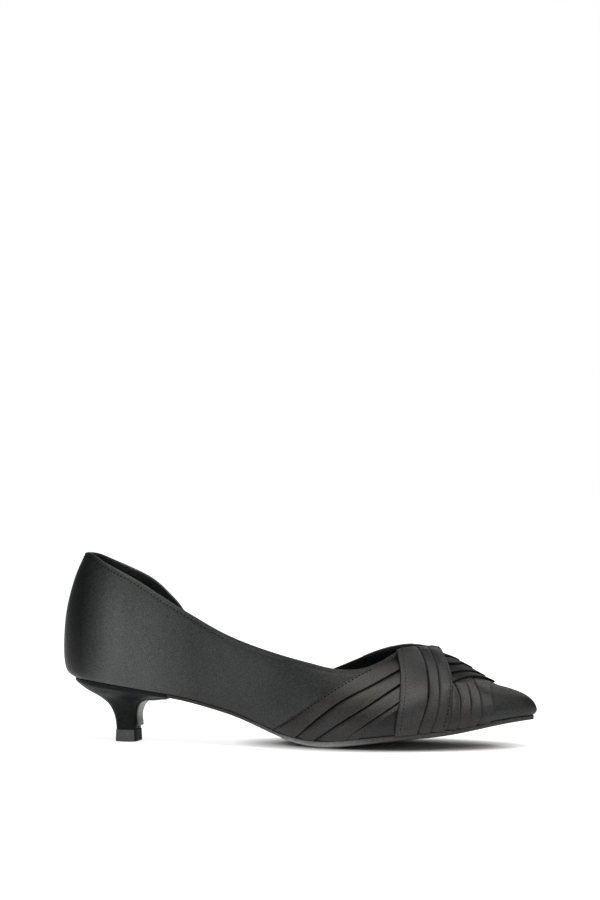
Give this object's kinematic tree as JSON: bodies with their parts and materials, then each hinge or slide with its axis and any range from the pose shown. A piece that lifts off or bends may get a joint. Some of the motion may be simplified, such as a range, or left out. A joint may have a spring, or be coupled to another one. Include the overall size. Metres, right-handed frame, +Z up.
{
  "type": "kitten heel pump",
  "caption": "Pointed-toe half d'Orsay pump on a low curved heel, with crossed pleated satin bands over the vamp.",
  "frame": {"origin": "middle of the shoe's bounding box in plan, on the floor plane that the heel tip and the forefoot stand on", "axes": "+X from the heel to the toe, +Y to the medial side, +Z up"},
  "size_m": [0.2638, 0.081, 0.1048],
  "materials": {
    "satin": "satin weave with a soft sheen",
    "sole": "matte",
    "heel": "smooth covered heel",
    "tip": "matte",
    "sock": "matte"
  },
  "bodies": {
    "root": {"upper": "satin", "outsole": "sole", "insole": "sock", "heel": "heel", "heel_tip": "tip", "breast_cover": "sole", "band_under": "satin", "band_over": "satin", "pleats_lateral": "satin", "pleats_medial": "satin"}
  },
  "joints": []
}
